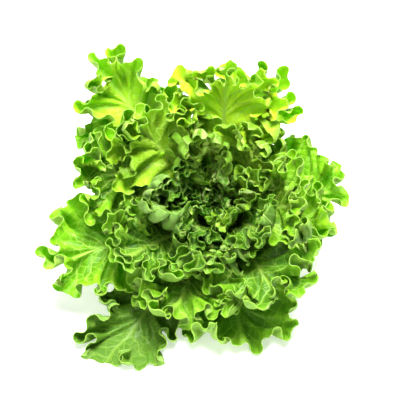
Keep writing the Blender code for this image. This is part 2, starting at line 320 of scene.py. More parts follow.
def makeLeaf(index, chance):
    layer = head["heartLayer"] * index / (head["leaves"] - 1)
    late = layer**1.4
    azimuth = wrapped(head["firstAzimuth"] + index * head["spiralAngle"]
                      + chance.uniform(-1, 1) * head["azimuthChance"])
    left = -head["longerLeft"] * math.sin(math.radians(azimuth)) * (1.0 - layer)
    usual = (0.0, 1.0, 1.0, between(*head["curl"], layer) * (-1) ** index)
    turned, longer, wider, curl = ownLeaf.get(index, usual)
    length = between(*head["length"], layer**2.6)
    length = length * (1.0 + left + head["lengthChance"] * chance.uniform(-1, 1))
    leaf = {
        "layer": layer,
        "azimuth": wrapped(azimuth + turned),
        "length": length * longer * ownLength.get(index, 1.0),
        "spread": between(*head["spread"], layer**2) * wider * ownWidth.get(index, 1.0),
        "base": between(*head["base"], layer),
        "fold": between(*head["fold"], late) * (1.0 + head["foldChance"] * chance.uniform(-1, 1)),
        "height": between(*head["foldHeight"], late),
        "wave": between(*head["wave"], late) * chance.uniform(*head["waveChance"]),
        "curl": curl,
        "rib": between(*head["rib"], layer),
        "phases": chance.uniform(0.0, 2.0 * math.pi, 8),
        "band": ownBand.get(index),
        "higher": ownFold.get(index, 1.0),
        "freshAndGlow": ownFreshAndGlow.get(index, 0.2 + 0.25 * math.sin(2.4 * index)),
    }
    leaf["line"] = outline(leaf)
    return leaf


def makeBud(index, chance):
    leaf = {
        "layer": bud["layer"][0] + bud["layer"][1] * index,
        "azimuth": wrapped(head["firstAzimuth"] + (head["leaves"] + index) * head["spiralAngle"]),
        "length": bud["length"][0] + bud["length"][1] * index,
        "spread": bud["spread"][0] + bud["spread"][1] * index,
        "base": head["base"][1],
        "fold": bud["fold"] * (1.0 + head["foldChance"] * chance.uniform(-1, 1)),
        "height": bud["foldHeight"],
        "wave": bud["wave"],
        "curl": 0.0,
        "rib": bud["rib"],
        "phases": chance.uniform(0.0, 2.0 * math.pi, 8),
        "band": None,
        "higher": 1.0,
        "freshAndGlow": 0.0,
    }
    leaf["line"] = outline(leaf)
    return leaf


headShift, stemMiss = findShift()
print("head shift", headShift.round(5), "stem size differs by", stemMiss.round(5))
chance = np.random.default_rng(7)
leaves = [makeLeaf(index, chance) for index in range(head["leaves"])]
buds = [makeBud(index, chance) for index in range(bud["count"])]


def presence(leaf, azimuth, reach):
    # the room a leaf needs at a place, 1 where the leaf is there and 0 beside it, and its midrib's thickness
    share = reach / leaf["length"]
    turned = np.abs(wrapped(azimuth - leaf["azimuth"])) / leaf["spread"]
    side = turned / np.maximum(marginWidth(leaf, share), 0.08)
    edge = np.maximum(side, (share - 0.5) / 0.5)
    need = 0.1 + 0.9 * np.clip(edge, 0.0, 1.0) ** 2.5
    there = 1.0 - smooth((np.maximum(side, share) - 1.08) / 0.12)
    aside = smooth((turned * leaf["spread"] - 5.0) / 9.0)
    rib = leaf["rib"] * (1.0 - smooth(share / head["ribEnd"])) * (1.0 - aside)
    return need, there, rib


def rooms(leaf, azimuth, reach, gap):
    # how many layers a leaf may swing towards the heart and away from it
    own, _, ownRib = presence(leaf, azimuth, reach)
    outer = head["freeRoom"] / gap
    inner = np.minimum(outer, max(1.03 - leaf["layer"], 0.04))
    for other in leaves:
        apart = other["layer"] - leaf["layer"]
        if apart == 0.0:
            continue
        need, there, rib = presence(other, azimuth, reach)
        keep = head["clearRoom"] + (rib if apart > 0.0 else ownRib)
        limit = np.maximum(abs(apart) - keep / gap, 0.002) * own / (own + there * need)
        limit = limit / np.maximum(there, 0.001)
        if apart > 0.0:
            inner = np.minimum(inner, limit)
        else:
            outer = np.minimum(outer, limit)
    return inner, outer


def foldPhase(leaf, place):
    # phase of the folds along the margin, and the length of the fold there
    a, b, c = leaf["phases"][:3]
    even = 2.0 * math.pi / leaf["fold"]
    drift = head["foldDrift"] * leaf["fold"]
    phase = even * place + a + head["foldUneven"] * ripple(place / drift, b, c)
    slope = head["foldUneven"] / drift * rippleSlope(place / drift, b, c)
    return phase, 2.0 * math.pi / (even + slope)


def broadForm(leaf, margin, ring, folded=1.0):
    # A leaf's folded face round the stem's axis, with its flat coordinates. margin runs from -1 at the foot
    # by 0 at the tip to 1 at the foot again, and ring from 0 on the midrib to 1 on the margin
    layer = leaf["layer"]
    share, width, run = leaf["line"]
    whole = run[-1]
    place = margin * whole
    d, e, f, g, h = leaf["phases"][3:]
    phase, own = foldPhase(leaf, place)
    phase = phase + look["foldBend"] * (1.0 - ring) * ripple(place / uneven["foldBend"], f, e)
    strength = 0.8 + 0.3 * ripple(place / uneven["foldHeight"], d, e)
    strength = strength * np.clip(own / leaf["fold"], 0.55, 1.35)
    steep = leaf["higher"] * between(*look["foldSlope"], soon(layer))
    fold = np.minimum(between(*look["foldHeight"], layer) * leaf["height"] * strength, steep * own)
    fold = fold * offFoot(margin, 0.93, 0.25) * ring ** between(*look["foldPower"], layer)
    bulge = between(*look["overhang"], soon(layer)) * fold * np.sin(2.0 * phase)
    moved = np.clip((place + bulge) / whole, -1.0, 1.0)
    fromFoot = (1.0 - np.abs(moved)) * whole
    lobe = 1.0 + 0.025 * ring**2 * ripple(place / uneven["lobe"], f, g)
    reachShare = np.interp(fromFoot, run, share) * between(head["spineShare"], 1.0, ring) * lobe
    turned = np.sign(moved) * ring * np.interp(fromFoot, run, width) * lobe
    azimuth = leaf["azimuth"] + leaf["spread"] * turned
    reach = leaf["length"] * reachShare

    wave = leaf["wave"] * ring**1.6 * ripple(place / (0.33 * leaf["fold"]), g, h)
    curl = leaf["curl"] * smooth((reachShare - 0.55) / 0.45)
    keel = -head["keel"] * np.exp(-((turned / 0.2) ** 2)) * smooth(reachShare / 0.3)
    sway = head["sway"] * np.sin(2.6 * turned + h) * smooth((reachShare - 0.2) / 0.5)
    roll = between(*look["roll"], layer) * ripple(reach / uneven["roll"] + 1.5 * turned, e, d)
    roll = roll * smooth(ring / 0.6) * np.cos(3.1 * turned + f)
    swing = fold * np.cos(phase) + wave + curl + keel + sway + roll
    gap = layerGap(layer, reach, azimuth)
    inner, outer = rooms(leaf, azimuth, reach, gap)
    room = between(*look["moreRoom"], layer) * np.where(swing > 0.0, inner, outer)
    shift = folded * room * np.tanh(swing / gap / room)
    radius, height = layerPoint(layer + shift, reach, azimuth)
    return {
        "at": (radius, height, azimuth),
        "across": turned * math.radians(leaf["spread"]) * radius,
        "reach": reach,
        "share": reachShare,
        "free": np.minimum(inner, outer) * gap,
    }


def unfolded(leaf, margin, ring):
    return toWorld(*broadForm(leaf, margin, ring, 0.0)["at"])


def rays(leaf, margin, ring):
    # directions along the leaf's rays and off its inner face, and the length of a ray
    low, high = np.maximum(ring - 0.04, 0.0), np.minimum(ring + 0.04, 1.0)
    side = 4.0 / leaf["line"][2][-1]
    left, right = np.maximum(margin - side, -1.0), np.minimum(margin + side, 1.0)
    out = (unfolded(leaf, margin, high) - unfolded(leaf, margin, low)) / (high - low)[:, None]
    along = unfolded(leaf, right, ring) - unfolded(leaf, left, ring)
    up = unit(np.cross(unit(along), unit(out)))
    return unit(out), up, np.linalg.norm(out, axis=1)


def findFacing(leaf):
    # 1 where the cross product of the leaf's directions points to the heart, otherwise -1
    margin, ring = np.array([0.0]), np.array([0.5])
    up = rays(leaf, margin, ring)[1]
    form = broadForm(leaf, margin, ring, 0.0)
    azimuth, reach = form["at"][2], form["reach"]
    deeper = toWorld(*layerPoint(leaf["layer"] + 0.03, reach, azimuth), azimuth)
    deeper = deeper - toWorld(*layerPoint(leaf["layer"], reach, azimuth), azimuth)
    return float(np.sign(np.sum(up * deeper)))


def spot(leaf, margin, ring):
    # points of the folded face with its margin band turned up towards the heart
    layer = leaf["layer"]
    points = toWorld(*broadForm(leaf, margin, ring)["at"])
    out, up, depth = rays(leaf, margin, ring)
    up = up * leaf["facing"]
    a, b, c, d = leaf["phases"][1:5]
    place = margin * leaf["line"][2][-1]
    usual = tuple(between(*look[key], layer) for key in ("bandWidth", "bandTurn", "bandSwing"))
    wide, turned, swing = leaf["band"] or usual
    band = np.minimum(wide * (1.0 + 0.3 * ripple(place / uneven["bandWidth"], d, a)), 0.75 * depth)
    turn = turned + swing * ripple(place / uneven["bandTurn"], b, c)
    turn = np.radians(turn * offFoot(margin, 0.97, 0.15))
    into = np.maximum(band - (1.0 - ring) * depth, 0.0)
    angle = turn * (into / band) ** 1.5
    steps = np.linspace(0.05, 0.95, 10)
    angles = turn[:, None] * (into[:, None] * steps / band[:, None]) ** 1.5
    bentOut = into * (np.cos(angles).mean(axis=1) - 1.0)
    bentUp = into * np.sin(angles).mean(axis=1)
    rise = np.sum((points - unfolded(leaf, margin, ring)) * up, axis=1)
    kept = between(*look["bandFold"], soon(layer))
    points = points + (bentOut - kept * rise * np.sin(angle))[:, None] * out
    return points + (bentUp + rise * (np.cos(angle) - 1.0))[:, None] * up


def rimRun(leaf, margin):
    # distance along the folded margin
    stops = np.linspace(-1.0, 1.0, 4001)
    rim = spot(leaf, stops, np.ones_like(stops))
    steps = np.linalg.norm(np.diff(rim, axis=0), axis=1)
    return np.interp(margin, stops, np.concatenate([[0.0], np.cumsum(steps)]))


def directions(leaf, margin, ring):
    # along the margin, out to it and up off the folded face, and the length of a ray
    side, step = 0.5 / leaf["line"][2][-1], 0.01
    left, right = np.maximum(margin - side, -1.0), np.minimum(margin + side, 1.0)
    along = unit(spot(leaf, right, ring) - spot(leaf, left, ring))
    low = np.maximum(ring - step, 0.0)
    out = (spot(leaf, margin, ring + step) - spot(leaf, margin, low)) / (ring + step - low)[:, None]
    up = unit(np.cross(along, unit(out))) * leaf["facing"]
    return along, unit(out), up, np.linalg.norm(out, axis=1)


def frill(leaf, run, rimGap, loose):
    # the margin's waves: how far they go up and along
    c, d, e, f = leaf["phases"][2:6]
    layer = leaf["layer"]
    step = between(*look["frillLength"], layer**1.7)
    phase = 2.0 * math.pi * run / step + 1.3 * ripple(run / (1.9 * step), c, d)
    size = between(*look["frillHeight"], layer**1.7) * (0.8 + 0.3 * ripple(run / uneven["frill"], e, f))
    size = size * loose * (1.0 - smooth(rimGap / between(*look["frillDepth"], layer))) ** 1.3
    return size * np.cos(phase), 0.3 * size * np.sin(2.0 * phase)


def crimp(leaf, run, rimGap, loose):
    size = look["crimpHeight"] * loose * (1.0 - smooth(rimGap / look["crimpDepth"])) ** 1.5
    a, h = leaf["phases"][[0, 7]]
    phase = 2.0 * math.pi * run / look["crimpLength"] + 1.5 * ripple(run / uneven["crimp"], h, a)
    return size * np.cos(phase)


def tooth(leaf, run, rimGap):
    b, c, g = leaf["phases"][[1, 2, 6]]
    phase = math.pi * run / look["toothLength"] + 0.8 * ripple(run / uneven["tooth"], b, g)
    size = look["toothHeight"] * (0.8 + 0.5 * ripple(run / uneven["toothHeight"], g, c))
    size = size * (np.abs(np.sin(phase)) ** 0.6 - 0.6)
    return size * (1.0 - smooth(rimGap / look["toothDepth"]))


def quilting(leaf, form, rimGap):
    # bulges between side veins, which bow as they run outwards
    a, b = leaf["phases"][:2]
    across, reach = form["across"], form["reach"]
    bow = reach - look["veinRake"] * np.abs(across) + 2.0 * np.sin(across / 9.0 + a)
    bow = bow + 1.5 * np.sin(reach / 13.0 + b)
    quilt = np.abs(np.sin(math.pi * bow / look["veinStep"])) - 0.55
    quilt = quilt * smooth(np.abs(across) / 9.0) * smooth(rimGap / look["quiltMargin"])
    quilt = quilt * smooth((form["share"] - 0.15) / 0.2)
    return look["quilt"] * np.clip(form["free"] / 6.0, 0.2, 1.0) * quilt


def thickness(leaf, form, rimGap):
    wide = np.abs(form["across"]) / (head["ribWidth"] * (1.0 - 0.5 * form["share"]))
    rib = leaf["rib"] * (1.0 - smooth(form["share"] / head["ribEnd"])) * np.clip(1.0 - wide, 0.0, 1.0)
    return look["blade"] * (1.0 - 0.25 * (1.0 - smooth(rimGap / look["rimThin"]))) + rib


def groundLevel(azimuth, lower):
    # a leaf stays higher over the floor for each older leaf beneath it
    level = np.zeros_like(azimuth)
    for other in lower:
        off = np.abs(wrapped(azimuth - other["azimuth"]))
        level += 1.0 - smooth((off - other["spread"] - 3.0) / 12.0)
    return head["groundStep"] * level


def pressedUp(height, least):
    # the floor lifts softly what would sink into it
    soft = 1.2
    over = (height - least) / soft
    return least + soft * (np.maximum(over, 0.0) + np.log1p(np.exp(-np.abs(over))))


def fineForm(leaf, lower, margin, ring):
    # points of the inner face with frills, teeth and quilting, and what thickness and materials need there
    form = broadForm(leaf, margin, ring)
    points = spot(leaf, margin, ring)
    along, out, up, depth = directions(leaf, margin, ring)
    run = rimRun(leaf, margin)
    rimGap = (1.0 - ring) * depth
    loose = np.clip(form["free"] / 8.0, 0.3, 1.0) * offFoot(margin, 0.96, 0.2)
    height, aside = frill(leaf, run, rimGap, loose)
    points = points + height[:, None] * up
    points = points + aside[:, None] * along
    points = points + crimp(leaf, run, rimGap, loose)[:, None] * up
    points = points + tooth(leaf, run, rimGap)[:, None] * out
    points = points + quilting(leaf, form, rimGap)[:, None] * up
    thick = thickness(leaf, form, rimGap)
    points[:, 2] = pressedUp(points[:, 2], groundLevel(form["at"][2], lower) + thick + 0.15)
    flat = np.stack([form["across"], form["reach"]], axis=1) * look["flatScale"]
    return {"points": points, "thick": thick, "flat": flat, "rim": rimGap, "share": form["share"]}


def makeNet(leaf):
    # a grid of margin by ring, with more columns towards the margin
    bm = bmesh.new()
    columns = 2 * round(leaf["line"][2][-1] / look["column"])
    bmesh.ops.create_grid(bm, x_segments=columns, y_segments=look["rows"], size=1.0)
    for least in (0.0, 0.55):
        edges = [e for e in bm.edges
                 if min(v.co.y for v in e.verts) > least and abs(e.verts[0].co.y - e.verts[1].co.y) < 1e-6]
        bmesh.ops.subdivide_edges(bm, edges=edges, cuts=1)
    flat = np.array([v.co for v in bm.verts])
    margin = np.clip(flat[:, 0], -1.0, 1.0)
    ring = 1.0 - (1.0 - np.clip((flat[:, 1] + 1.0) / 2.0, 0.0, 1.0)) ** 1.25
    return bm, margin, ring


def giveThickness(piece, thick):
    # solidify reads the thickness from vertex weights, in steps
    steps = 40
    group = piece.vertex_groups.new(name="thickness")
    share = thick / thick.max()
    for level in range(1, steps + 1):
        members = np.nonzero(np.round(share * steps) == level)[0]
        if len(members):
            group.add(members.tolist(), level / steps, "REPLACE")
    weld = piece.modifiers.new("midrib", "WELD")
    weld.merge_threshold = 0.00001
    solid = piece.modifiers.new("thickness", "SOLIDIFY")
    solid.thickness = float(thick.max()) * mm
    solid.vertex_group = group.name
    solid.offset = -1.0
    solid.material_offset = 1
    solid.material_offset_rim = 2


def makeLeafPiece(leaf, name, node, lower):
    bm, margin, ring = makeNet(leaf)
    form = fineForm(leaf, lower, margin, ring)
    for vert, point in zip(bm.verts, form["points"]):
        vert.co = Vector(point * mm + headShift)
    mesh = bpy.data.meshes.new(name + "_fine")
    bm.to_mesh(mesh)
    bm.free()
    if leaf["facing"] < 0:
        mesh.flip_normals()

    uv = mesh.uv_layers.new(name="flat")
    loopVerts = np.zeros(len(mesh.loops), dtype=np.int32)
    mesh.loops.foreach_get("vertex_index", loopVerts)
    uv.data.foreach_set("uv", form["flat"][loopVerts].ravel())
    ones = np.ones(len(margin))
    masks = {
        "rimGap": form["rim"],
        "share": form["share"],
        "layer": leaf["layer"] * ones,
        "freshAndGlow": leaf["freshAndGlow"] * ones,
    }
    for key, values in masks.items():
        mesh.attributes.new(key, "FLOAT", "POINT").data.foreach_set("value", values)
    for material in (faceMaterial, backMaterial, rimMaterial):
        mesh.materials.append(material)
    piece = bpy.data.objects.new(name + "_fine", mesh)
    bpy.context.scene.collection.objects.link(piece)
    giveThickness(piece, form["thick"])
    mesh.shade_smooth()
    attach(piece, "root")
    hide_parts(node)
    return piece


# Materials
def addNode(tree, kind, at, **settings):
    node = tree.nodes.new(kind)
    node.location = at
    for key, value in settings.items():
        setattr(node, key, value)
    return node


def mathNode(tree, operation, one, two=None, at=(0, 0), clamp=False):
    node = addNode(tree, "ShaderNodeMath", at, operation=operation, use_clamp=clamp)
    for socket, value in zip(node.inputs, (one, two)):
        if value is None:
            continue
        if isinstance(value, (int, float)):
            socket.default_value = value
        else:
            tree.links.new(value, socket)
    return node.outputs[0]


def ramp(tree, value, low, high, at=(0, 0)):
    node = addNode(tree, "ShaderNodeMapRange", at, interpolation_type="SMOOTHSTEP")
    tree.links.new(value, node.inputs["Value"])
    node.inputs["From Min"].default_value = low
    node.inputs["From Max"].default_value = high
    return node.outputs["Result"]


def mixColour(tree, factor, one, two, at=(0, 0)):
    node = addNode(tree, "ShaderNodeMix", at, data_type="RGBA")
    for socket, value in ((node.inputs[0], factor), (node.inputs[6], one), (node.inputs[7], two)):
        if isinstance(value, (int, float)):
            socket.default_value = value
        elif isinstance(value, tuple):
            socket.default_value = (*value, 1.0)
        else:
            tree.links.new(value, socket)
    return node.outputs[2]


def attribute(tree, name, at):
    node = addNode(tree, "ShaderNodeAttribute", at, attribute_name=name)
    return node.outputs["Fac"]


def objectNoise(tree, scale, detail, at):
    where = addNode(tree, "ShaderNodeTexCoord", (at[0] - 200, at[1]))
    noise = addNode(tree, "ShaderNodeTexNoise", at)
    noise.inputs["Scale"].default_value = scale
    noise.inputs["Detail"].default_value = detail
    tree.links.new(where.outputs["Object"], noise.inputs["Vector"])
    return noise.outputs["Fac"]


def addBump(tree, shader, height, strength, distance, at):
    bump = addNode(tree, "ShaderNodeBump", at, invert=strength < 0)
    bump.inputs["Strength"].default_value = abs(strength)
    bump.inputs["Distance"].default_value = distance
    tree.links.new(height, bump.inputs["Height"])
    tree.links.new(bump.outputs[0], shader.inputs["Normal"])


def startMaterial(name):
    material = bpy.data.materials.new(name)
    material.use_nodes = True
    tree = material.node_tree
    return material, tree, tree.nodes["Principled BSDF"]


veinForm = {  # in flat coordinates, where a millimetre is flatScale
    "wobbleScale": 6.0,
    "wobble": 0.16,
    "warp": 0.05,           # of the nets between the side veins
    "side": (0.014, 0.0),
    "sideEnd": (0.55, 0.1),     # where side veins fade out
    "midrib": (0.035, 0.005),
    "netScale": 11.5,
    "net": (0.09, 0.0),     # from a cell's edge, share of the cell
    "fineScale": 32.0,
    "fine": (0.12, 0.0),
    "fineShare": 0.35,
    "dome": 0.9,            # height of the blade between veins
}


def makeVeinGroup():
    # veins from a leaf's flat coordinates: side veins off the midrib, and the nets between them
    group = bpy.data.node_groups.new("leaf veins", "ShaderNodeTree")
    group.interface.new_socket("Vector", in_out="INPUT", socket_type="NodeSocketVector")
    for name in ("Veins", "Net", "Height"):
        group.interface.new_socket(name, in_out="OUTPUT", socket_type="NodeSocketFloat")
    source = addNode(group, "NodeGroupInput", (-1400, 0))
    result = addNode(group, "NodeGroupOutput", (900, 0))
    flat = source.outputs["Vector"]
    noise = addNode(group, "ShaderNodeTexNoise", (-1200, -200))
    noise.inputs["Scale"].default_value = veinForm["wobbleScale"]
    noise.inputs["Detail"].default_value = 1.0
    group.links.new(flat, noise.inputs["Vector"])
    parts = addNode(group, "ShaderNodeSeparateXYZ", (-1200, 100))
    group.links.new(flat, parts.inputs[0])

    wobble = mathNode(group, "SUBTRACT", noise.outputs["Fac"], 0.5, (-1000, -200))
    wobble = mathNode(group, "MULTIPLY", wobble, veinForm["wobble"], (-820, -200))
    across = mathNode(group, "ABSOLUTE", parts.outputs[0], at=(-1000, 150))
    raked = mathNode(group, "MULTIPLY", across, look["veinRake"], (-820, 150))
    bow = mathNode(group, "SUBTRACT", parts.outputs[1], raked, (-640, 150))
    bow = mathNode(group, "ADD", bow, wobble, (-480, 150))
    cycle = mathNode(group, "PINGPONG", bow, look["veinStep"] * look["flatScale"] / 2.0, (-320, 150))
    side = ramp(group, cycle, *veinForm["side"], (-160, 150))
    fade = ramp(group, across, *veinForm["sideEnd"], (-160, -50))
    side = mathNode(group, "MULTIPLY", side, fade, (20, 100))
    midrib = ramp(group, across, *veinForm["midrib"], (-160, 350))
    veins = mathNode(group, "MAXIMUM", side, midrib, (200, 150))

    warp = addNode(group, "ShaderNodeVectorMath", (-640, -300), operation="MULTIPLY_ADD")
    group.links.new(noise.outputs["Color"], warp.inputs[0])
    warp.inputs[1].default_value = (veinForm["warp"], veinForm["warp"], 0.0)
    group.links.new(flat, warp.inputs[2])
    edges = []
    for key, at in (("netScale", (-320, -250)), ("fineScale", (-320, -500))):
        cells = addNode(group, "ShaderNodeTexVoronoi", at, feature="DISTANCE_TO_EDGE")
        cells.voronoi_dimensions = "2D"
        cells.inputs["Scale"].default_value = veinForm[key]
        group.links.new(warp.outputs[0], cells.inputs["Vector"])
        edges.append(cells.outputs["Distance"])
    net = ramp(group, edges[0], *veinForm["net"], (-100, -250))
    fine = ramp(group, edges[1], *veinForm["fine"], (-100, -500))
    fine = mathNode(group, "MULTIPLY", fine, veinForm["fineShare"], (80, -500))
    net = mathNode(group, "MAXIMUM", net, fine, (250, -300))
    dome = ramp(group, edges[0], 0.0, 0.5, (-100, -700))
    dome = mathNode(group, "MULTIPLY", dome, veinForm["dome"], (80, -700))
    height = mathNode(group, "SUBTRACT", dome, veins, (450, -400))
    for name, value in (("Veins", veins), ("Net", net), ("Height", height)):
        group.links.new(value, result.inputs[name])
    return group


faceTone = {
    # painted shade: the dark green the blade turns inside, away from the rim and more towards the heart
    "paintedShade": (0.010, 0.12, 0.001),     # inside the blade
    "bright": (0.24, 0.56, 0.006),    # towards the margin
    # painted shade of the heart's hollow: a darker green for the inner leaves
    "heart": (0.028, 0.145, 0.0015),
    "base": (0.36, 0.50, 0.10),       # at the foot
    "vein": (0.48, 0.72, 0.11),
    # light line along the rim: partly the margin's own paler green, partly painted light coming through the
    # thin edge
    "margin": (0.34, 0.62, 0.04),
    # yellow green of fresh leaves, made brighter as painted light coming through a leaf
    "freshAndGlow": (0.60, 0.93, 0.03),
    # pale dull green, made darker as painted shade on the low side of the head
    "paleShade": (0.08, 0.185, 0.022),
    "net": 0.5,                       # how much the veins and the line along the rim show
    "veins": 0.7,
    "edge": 0.45,
    "rough": 0.42,
    "relief": 0.35,                   # veins are sunk in the face and stand out on the back
    "through": 0.6,                   # of the light
}
backTone = {
    # painted shade inside the blade, as on the face
    "paintedShade": (0.06, 0.18, 0.008),
    "bright": (0.25, 0.48, 0.03),
    # painted shade of the heart's hollow, as on the face
    "heart": (0.035, 0.145, 0.002),
    "base": (0.48, 0.58, 0.20),
    "vein": (0.46, 0.60, 0.18),
    # light line along the rim, partly painted light through the thin edge, as on the face
    "margin": (0.46, 0.66, 0.10),
    # yellow green of fresh leaves, partly painted light, as on the face
    "freshAndGlow": (0.34, 0.60, 0.03),
    # pale dull green, partly painted shade, as on the face
    "paleShade": (0.24, 0.42, 0.09),
    "net": 0.3,
    "veins": 0.7,
    "edge": 0.5,
    "rough": 0.52,
    "relief": -0.5,
    "through": 0.6,
}
leafFinish = {  # what face and back share
    "patchScale": 26.0,
    "patch": (0.3, 0.7),
    "patchShare": 0.3,
    "brightShare": 0.85,
    # painted shade: how far inside the blade it reaches, and how strong it is from the outer leaves to the
    # heart
    "inside": (3.0, 28.0),      # distance from the rim over which the blade turns deep
    "insideShare": 0.15,        # how much it does on the outermost leaf
    "heartShare": 1.3,          # and how much more in the heart
    "heart": (0.3, 0.85),       # layers over which leaves turn to the painted shade of the heart
    "ownShare": 0.7,            # of the yellow green, with its painted light, and of the pale green, with its painted shade, that a leaf's own value gives
    "foot": (0.45, 0.1),        # share of the length over which the foot turns pale
    "footShare": 0.8,
    # the light line along the rim is partly painted light coming through the thin edge
    "edge": (1.4, 0.1),         # distance from the rim over which its light line fades in
    "bump": 0.0012,
    "glow": (0.7, 1.0, 0.25),   # colour of the light that comes through
    "glowDepth": 0.0016,
}


def makeLeafMaterial(name, tone):
    material, tree, shader = startMaterial(name)
    uv = addNode(tree, "ShaderNodeUVMap", (-1500, 0), uv_map="flat")
    veins = addNode(tree, "ShaderNodeGroup", (-1300, 0), node_tree=veinGroup)
    tree.links.new(uv.outputs[0], veins.inputs[0])
    rim, share = attribute(tree, "rimGap", (-1500, -300)), attribute(tree, "share", (-1500, -450))
    layer, freshAndGlow = attribute(tree, "layer", (-1500, -600)), attribute(tree, "freshAndGlow", (-1500, -750))
    patch = objectNoise(tree, leafFinish["patchScale"], 3.0, (-1300, 300))

    # blotches of bright green, with painted shade that darkens the blade inside and more towards the heart
    blotchAndShade = ramp(tree, patch, *leafFinish["patch"], (-1100, 300))
    blotchAndShade = mathNode(tree, "MULTIPLY", blotchAndShade, leafFinish["patchShare"], (-1000, 400))
    blotchAndShade = mathNode(tree, "ADD", blotchAndShade, leafFinish["brightShare"], (-950, 400))
    depth = mathNode(tree, "MULTIPLY_ADD", layer, leafFinish["heartShare"], (-1300, 650), clamp=True)
    depth.node.inputs[2].default_value = leafFinish["insideShare"]
    inside = ramp(tree, rim, *leafFinish["inside"], (-1300, 500))
    inside = mathNode(tree, "MULTIPLY", inside, depth, (-1100, 500))
    blotchAndShade = mathNode(tree, "SUBTRACT", blotchAndShade, inside, (-900, 400), clamp=True)
    colour = mixColour(tree, blotchAndShade, tone["paintedShade"], tone["bright"], (-800, 300))

    # painted shade of the heart, then each leaf's own green: yellow green, which on leaf 12 is also painted
    # light coming through it, and pale dull green, which on leaf 0 is also painted shade; then its pale foot
    heart = ramp(tree, layer, *leafFinish["heart"], (-1100, 120))
    colour = mixColour(tree, heart, colour, tone["heart"], (-700, 300))
    yellowAndGlow = mathNode(tree, "MULTIPLY", freshAndGlow, leafFinish["ownShare"], (-1100, 60), clamp=True)
    colour = mixColour(tree, yellowAndGlow, colour, tone["freshAndGlow"], (-600, 420))
    paleShade = mathNode(tree, "MULTIPLY", freshAndGlow, -leafFinish["ownShare"], (-1100, -60), clamp=True)
    colour = mixColour(tree, paleShade, colour, tone["paleShade"], (-600, 540))
    foot = ramp(tree, share, *leafFinish["foot"], (-900, 0))
    foot = mathNode(tree, "MULTIPLY", foot, leafFinish["footShare"], (-700, 0))
    colour = mixColour(tree, foot, colour, tone["base"], (-500, 300))

    # veins, and the light line along the rim that is partly the margin's paler green and partly painted
    # light coming through the thin edge, which show less on a pale leaf
    shown = mathNode(tree, "MULTIPLY_ADD", paleShade, -0.75, (-900, -200))
    shown.node.inputs[2].default_value = 1.0
    for key, at in (("Net", -150), ("Veins", -300)):
        amount = mathNode(tree, "MULTIPLY", veins.outputs[key], tone[key.lower()], (-700, at))
        amount = mathNode(tree, "MULTIPLY", amount, shown, (-500, at))
        colour = mixColour(tree, amount, colour, tone["vein"], (-300, 300))
    edge = ramp(tree, rim, *leafFinish["edge"], (-700, -450))
    edge = mathNode(tree, "MULTIPLY", edge, shown, (-500, -450))
    edge = mathNode(tree, "MULTIPLY", edge, ramp(tree, layer, 1.1, 0.3, (-700, -600)), (-400, -450))
    edge = mathNode(tree, "MULTIPLY", edge, tone["edge"], (-300, -300))
    colour = mixColour(tree, edge, colour, tone["margin"], (100, 300))
    tree.links.new(colour, shader.inputs["Base Color"])

    rough = addNode(tree, "ShaderNodeMapRange", (-100, -100))
    tree.links.new(patch, rough.inputs["Value"])
    rough.inputs["To Min"].default_value = tone["rough"] - 0.08
    rough.inputs["To Max"].default_value = tone["rough"] + 0.1
    tree.links.new(rough.outputs["Result"], shader.inputs["Roughness"])
    addBump(tree, shader, veins.outputs["Height"], tone["relief"], leafFinish["bump"], (-100, -500))
    shader.inputs["Specular IOR Level"].default_value = 0.25
    shader.inputs["Subsurface Weight"].default_value = tone["through"]
    shader.inputs["Subsurface Radius"].default_value = leafFinish["glow"]
    shader.inputs["Subsurface Scale"].default_value = leafFinish["glowDepth"]
    return material


rimTone = {
    "green": (0.30, 0.58, 0.04),
    "light": (0.42, 0.68, 0.09),
    # painted shade: the rims of the inner leaves darker towards the heart
    "heart": (0.10, 0.27, 0.01),
}


def makeRimMaterial():
    material, tree, shader = startMaterial("leaf rim")
    patch = objectNoise(tree, 60.0, 2.0, (-700, 0))
    colour = mixColour(tree, patch, rimTone["green"], rimTone["light"], (-400, 0))
    # painted shade on the rims of the inner leaves
    paintedShade = ramp(tree, attribute(tree, "layer", (-700, -250)), 0.3, 1.0, (-500, -250))
    colour = mixColour(tree, paintedShade, colour, rimTone["heart"], (-200, 0))
    tree.links.new(colour, shader.inputs["Base Color"])
    shader.inputs["Roughness"].default_value = 0.42
    shader.inputs["Subsurface Weight"].default_value = 0.3
    shader.inputs["Subsurface Radius"].default_value = (0.8, 1.0, 0.4)
    shader.inputs["Subsurface Scale"].default_value = leafFinish["glowDepth"]
    return material


veinGroup = makeVeinGroup()
faceMaterial = makeLeafMaterial("leaf face", faceTone)
backMaterial = makeLeafMaterial("leaf back", backTone)
rimMaterial = makeRimMaterial()
print("materials made")

trianglesMade = 0
for number, leaf in enumerate(leaves + buds):
    leaf["facing"] = findFacing(leaf)
    grown = number < head["leaves"]
    name = f"leaf_{number + 1:02d}" if grown else f"bud_{number + 1 - head['leaves']:02d}"
    made = makeLeafPiece(leaf, name, name if grown else "stem", leaves[:number])
    trianglesMade += 2 * sum(len(p.vertices) - 2 for p in made.data.polygons)
print("leaves made, triangles", trianglesMade)


# Stem
stemTone = {
    "flesh": (0.60, 0.66, 0.38),
    "light": (0.80, 0.80, 0.58),
    "green": (0.16, 0.34, 0.03),    # among the leaves
    "brown": (0.42, 0.25, 0.11),    # on the dried cut
}


